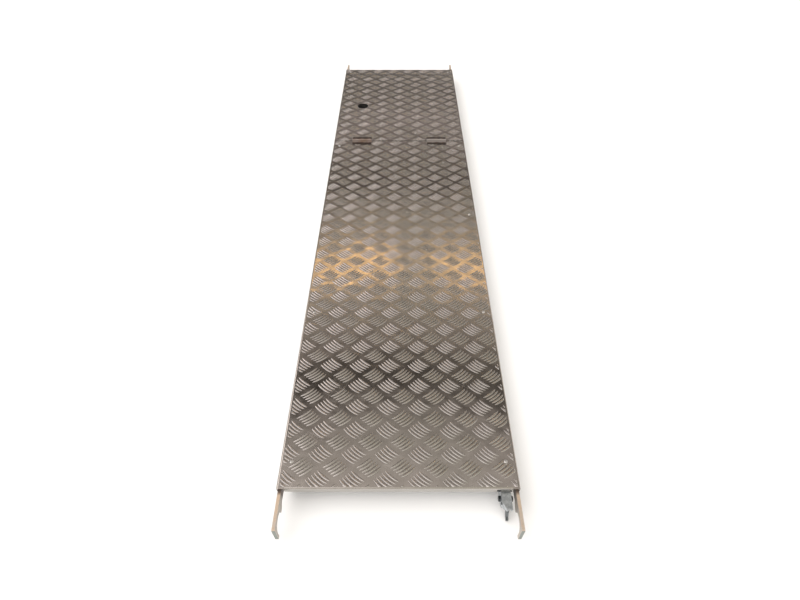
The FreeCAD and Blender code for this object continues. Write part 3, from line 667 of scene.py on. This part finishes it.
def hinge_room(side):
    """The room that both leaves of one hinge take."""
    moving_low, moving_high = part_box("hinge_moving_leaf_" + side)
    fixed_low, fixed_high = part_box("hinge_fixed_leaf_" + side)
    low = Vector(map(min, moving_low, fixed_low))
    high = Vector(map(max, moving_high, fixed_high))
    centre = (low + high) / 2 / MM
    half = (high - low) / 2 / MM
    return centre.x, centre.y, half.x + HINGE_ROOM[0], half.y + HINGE_ROOM[1], False


def rivet_rooms(node):
    """The rooms of the separate rivets in one node, found from their crowns."""
    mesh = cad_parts[node].data
    top = max(v.co.z for v in mesh.vertices)
    crowns = [v.co for v in mesh.vertices if v.co.z > top - 1e-5]
    centres = sorted({(round(co.x / MM, 1), round(co.y / MM, 1)) for co in crowns})
    return [(x, y, RIVET_ROOM, RIVET_ROOM, True) for x, y in centres]


def make_tread():
    """The raised bars of the three plates, with the breaks in the pattern at the joints."""
    metal = tread_metal("tread_bars", True)
    hinges = [hinge_room("left"), hinge_room("right")]
    rivets = rivet_rooms("deck_rivets") + rivet_rooms("end_strip_rivets")
    hole = (*HOLE_CENTRE, HOLE_ROOM, HOLE_ROOM, True)
    left, near, far = -HALF_WIDTH / MM, NEAR_EDGE / MM, FAR_EDGE / MM

    area = tread_area(MAIN_LOW, MAIN_HIGH, END_RIM, SEAM_RIM)
    first = (left + MAIN_FIRST[0], near + MAIN_FIRST[1])
    centres = group_centres(*area, first, PITCH, MAIN_SKEW)
    tread_bars("main_tread", "deck_frame", area, centres, hinges + rivets, metal)

    area = tread_area(HATCH_LOW, HATCH_HIGH, SEAM_RIM, SEAM_RIM)
    first = (left + HATCH_FIRST[0], far - HATCH_FIRST[1])
    centres = group_centres(*area, first, HATCH_PITCH)
    tread_bars("hatch_tread", "hatch", area, centres, hinges + [hole], metal)

    area = tread_area(STRIP_LOW, STRIP_HIGH, SEAM_RIM, END_RIM)
    first = (left + STRIP_FIRST[0], far - STRIP_FIRST[1] - PITCH[1])
    centres = group_centres(*area, first, PITCH)
    tread_bars("end_strip_tread", "deck_frame", area, centres, rivets, metal)


# ---- welds ----------------------------------------------------------------------------
def weld_rings(start, end, out, face, rng):
    """Rings of points along a rippled fillet in the corner of two faces that look out and face."""
    start, end, out, face = (np.array(v, float) for v in (start, end, out, face))
    length = np.linalg.norm(end - start)
    count = max(6, int(length / WELD_RIPPLE * WELD_STATIONS))
    rings = []
    for i in range(count + 1):
        share = i / count
        ripple = abs(math.sin(math.pi * share * length / WELD_RIPPLE))
        swell = min(1.0, 0.45 + 4 * min(share, 1 - share))       # thin at both ends
        leg = WELD_LEG * swell * (0.86 + 0.16 * ripple + rng.uniform(-0.03, 0.03))
        centre = start + (end - start) * share
        ring = [centre - WELD_ROOT * (out + face)]
        for degrees in WELD_ARC:
            angle = math.radians(degrees)
            ring.append(centre + leg * (math.cos(angle) * out + math.sin(angle) * face))
        rings.append(ring)
    return rings


def weld_piece(name, beads, body, material):
    """One piece of many beads, each given as (start, end, out, face)."""
    rng = random.Random(name)
    verts, faces = [], []
    for bead in beads:
        rings = weld_rings(*bead, rng)
        first, columns = len(verts), len(rings[0])
        for ring in rings:
            verts.extend(tuple(point * MM) for point in ring)
        for r in range(len(rings) - 1):
            for c in range(columns):
                a = first + r * columns + c
                b = first + r * columns + (c + 1) % columns
                faces.append((a, b, b + columns, a + columns))
        last = first + (len(rings) - 1) * columns
        faces.append(tuple(range(first, first + columns)))
        faces.append(tuple(range(last, last + columns))[::-1])
    bm = bmesh.new()
    made = [bm.verts.new(v) for v in verts]
    for face in faces:
        bm.faces.new([made[i] for i in face]).smooth = len(face) == 4
    bmesh.ops.recalc_face_normals(bm, faces=bm.faces)
    mesh = bpy.data.meshes.new(name)
    bm.to_mesh(mesh)
    bm.free()
    piece_from_mesh(name, mesh, material, body)


def frame_beads():
    """Where each cross beam meets the rails: two upright beads and one underneath."""
    beads = []
    for beam in CROSS_BEAMS:
        low, high = (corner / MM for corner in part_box(beam))
        bottom, top = low.z + BEAM_BEAD_ENDS[0], high.z - BEAM_BEAD_ENDS[1]
        for side in (-1, 1):
            x = side * high.x
            web = (-side, 0, 0)
            for y, way in ((low.y, -1), (high.y, 1)):
                beads.append(((x, y, bottom), (x, y, top), (0, way, 0), web))
            start = (x, low.y + BEAM_FOOT_ENDS, low.z)
            end = (x, high.y - BEAM_FOOT_ENDS, low.z)
            beads.append((start, end, (0, 0, -1), web))
    return beads


def hatch_beads():
    """Where the hatch's ribs and stringers meet each other and, in stitches, the plate."""
    down = (0, 0, -1)
    half = STITCH / 2
    beads = []
    for rib, way in (("hatch_rib_hinge_end", 1), ("hatch_rib_free_end", -1)):
        low, high = (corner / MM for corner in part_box(rib))
        y = high.y if way > 0 else low.y
        for x in RIB_STITCHES:
            beads.append(((x - half, y, high.z), (x + half, y, high.z), (0, way, 0), down))
    for stringer in ("hatch_stringer_left", "hatch_stringer_right"):
        low, high = (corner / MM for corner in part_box(stringer))
        bottom, top = low.z + STRINGER_BEAD_ENDS[0], high.z - STRINGER_BEAD_ENDS[1]
        for x, way in ((low.x, -1), (high.x, 1)):
            out = (way, 0, 0)
            for y, rib_face in ((low.y, 1), (high.y, -1)):
                beads.append(((x, y, bottom), (x, y, top), out, (0, rib_face, 0)))
            for share in STRINGER_STITCHES:
                y = low.y + (high.y - low.y) * share
                beads.append(((x, y - half, high.z), (x, y + half, high.z), out, down))
    return beads


def make_welds():
    """The weld beads under the deck and under the hatch."""
    metal = weld_metal()
    weld_piece("frame_welds", frame_beads(), "deck_frame", metal)
    weld_piece("hatch_welds", hatch_beads(), "hatch", metal)


# ---- camera, floor and light ----------------------------------------------------------
def make_camera():
    """The photograph's viewpoint."""
    data = bpy.data.cameras.new("camera")
    data.sensor_width = SENSOR_MM
    data.lens = LENS_MM
    data.clip_end = 100.0
    camera = bpy.data.objects.new("camera", data)
    camera.location = CAMERA_PLACE
    camera.rotation_euler = (math.radians(90.0 - CAMERA_BELOW_HORIZON), 0.0, 0.0)
    bpy.context.scene.collection.objects.link(camera)
    bpy.context.scene.camera = camera


def make_floor():
    """A plain pale floor."""
    material, n, shader = new_material("studio_floor", 0.0)
    tone = n.ramp(n.noise(place_of(n), 0.8), [(0.3, 0.86), (0.7, 0.9)])
    connect(n, shader, Base_Color=tone, Roughness=0.9)
    mesh = bpy.data.meshes.new("studio_floor")
    corners = [(x * FLOOR_HALF, y * FLOOR_HALF, 0) for x, y in ((-1, -1), (1, -1), (1, 1), (-1, 1))]
    mesh.from_pydata(corners, [], [(0, 1, 2, 3)])
    mesh.materials.append(material)
    floor = bpy.data.objects.new("studio_floor", mesh)
    floor.location.z = FLOOR_LEVEL
    bpy.context.scene.collection.objects.link(floor)


def make_sky():
    """A soft studio dome: a bright left side, a dim right side and a banded ceiling between."""
    world = bpy.data.worlds.new("studio")
    world.use_nodes = True
    bpy.context.scene.world = world
    n = Nodes(world.node_tree)
    direction = n.split(n.add("ShaderNodeTexCoord").outputs["Generated"])
    x, y, height = direction["X"], direction["Y"], direction["Z"]
    sideways = n.rescaled(x, 0.5, 0.5)
    forwards = n.rescaled(y, 0.5, 0.5)
    strip = n.ramp(height, LAMP_HEIGHT, smooth=True)
    lamps = n.math("MULTIPLY", strip, n.ramp(sideways, LAMP_TUBES))
    ceiling = n.mix(lamps, n.ramp(height, CEILING), LAMP_COLOUR)

    ahead = n.math("MULTIPLY", y, SIDE_SLANT)
    to_left = n.math("SUBTRACT", n.math("MULTIPLY", x, -1.0), ahead)
    to_right = n.math("SUBTRACT", x, ahead)
    low_light = n.ramp(height, [(0.50, 1.0), (0.60, 0.0)])
    left_side = n.mix(low_light, n.ramp(forwards, WINDOW), (0.30, 0.29, 0.245))
    right_side = n.mix(low_light, n.ramp(forwards, WALL), (1.05, 0.985, 0.96))
    sky = n.mix(n.ramp(to_left, [(0.0, 0.0), (0.09, 1.0)]), ceiling, left_side)
    sky = n.mix(n.ramp(to_right, [(0.0, 0.0), (0.16, 1.0)]), sky, right_side)

    near_horizon = n.ramp(height, [(0.350, 1.0), (0.378, 0.0)])
    sky = n.mix(near_horizon, sky, n.ramp(sideways, HORIZON))
    behind = n.ramp(n.math("MULTIPLY", y, -1.0), [(0.10, 0.0), (0.30, 0.6)])
    sky = n.mix(behind, sky, (0.62, 0.60, 0.58))
    sky = n.mix(n.ramp(height, [(0.07, 1.0), (0.12, 0.0)]), sky, (1.0, 0.99, 0.98))
    world.node_tree.links.new(sky, world.node_tree.nodes["Background"].inputs["Color"])


def make_key():
    """A wide sun that brightens the floor; the metal mirrors the dome and not the sun."""
    data = bpy.data.lights.new("soft_key", "SUN")
    data.energy = KEY_ENERGY
    data.angle = KEY_WIDTH
    data.color = (1.0, 0.985, 0.97)
    sun = bpy.data.objects.new("soft_key", data)
    sun.rotation_mode = "QUATERNION"
    sun.rotation_quaternion = KEY_FROM.to_track_quat("Z", "Y")
    sun.visible_glossy = False
    bpy.context.scene.collection.objects.link(sun)


def set_view():
    """Plain colours, with no film look."""
    view = bpy.context.scene.view_settings
    view.view_transform = "Standard"
    view.look = "None"
    view.exposure = 0.0


# ---- the CAD nodes --------------------------------------------------------------------
def dress_cad_nodes():
    """Gives every CAD node its material."""
    tread = tread_metal("tread_ground", False)
    rail = extruded_metal("rail_extrusion", "Y")
    beam = extruded_metal("beam_extrusion", "X")
    hook = hook_metal()
    lock = galvanised_metal("lock_zinc", (0.58, 0.61, 0.63), (0.37, 0.395, 0.41))
    # the claw's zinc is painted darker than the bracket's as painted shade, for the claw hanging in
    # shade under the deck's end
    claw = galvanised_metal("claw_zinc_painted_shade", (0.22, 0.235, 0.245), (0.10, 0.11, 0.115))
    hinge = hinge_metal()
    dark = dark_fixing_metal()
    rivet = fastener_metal("rivet_head", (0.85, 0.83, 0.81), (0.66, 0.64, 0.62), 0.16)
    steel = fastener_metal("zinc_fastener", (0.50, 0.51, 0.52), (0.30, 0.31, 0.32), 0.26)
    black = fastener_metal("black_fastener", (0.11, 0.12, 0.125), (0.05, 0.055, 0.06), 0.34)
    chosen = {
        "main_deck_sheet": tread,
        "hatch_sheet": tread,
        "end_strip_sheet": tread,
        "hatch_rib_hinge_end": beam,
        "hatch_rib_free_end": beam,
        "hook_rivets": steel,
        "deck_rivets": rivet,
        "end_strip_rivets": rivet,
        "hinge_rivets_deck": dark,
        "hinge_rivets_hatch": dark,
    }
    for name in CROSS_BEAMS:
        chosen[name] = beam
    for side in ("left", "right"):
        chosen["side_rail_" + side] = rail
        chosen["hatch_stringer_" + side] = rail
        chosen["hook_near_" + side] = hook
        chosen["hook_far_" + side] = hook
        chosen["hinge_fixed_leaf_" + side] = hinge
        chosen["hinge_moving_leaf_" + side] = hinge
        chosen["hinge_pin_" + side] = steel
    for end in ("near", "far"):
        chosen["lock_bracket_" + end] = lock
        chosen["lock_claw_" + end] = claw
        for part in ("pivot_bolt", "pivot_nut", "stop_pin"):
            chosen[f"lock_{part}_{end}"] = black
        for part in ("spacers", "bracket_rivets"):
            chosen[f"lock_{part}_{end}"] = steel
    for name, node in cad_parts.items():
        node.data.materials.clear()
        node.data.materials.append(chosen[name])


make_camera()
make_floor()
make_sky()
make_key()
set_view()
dress_cad_nodes()
make_tread()
make_welds()
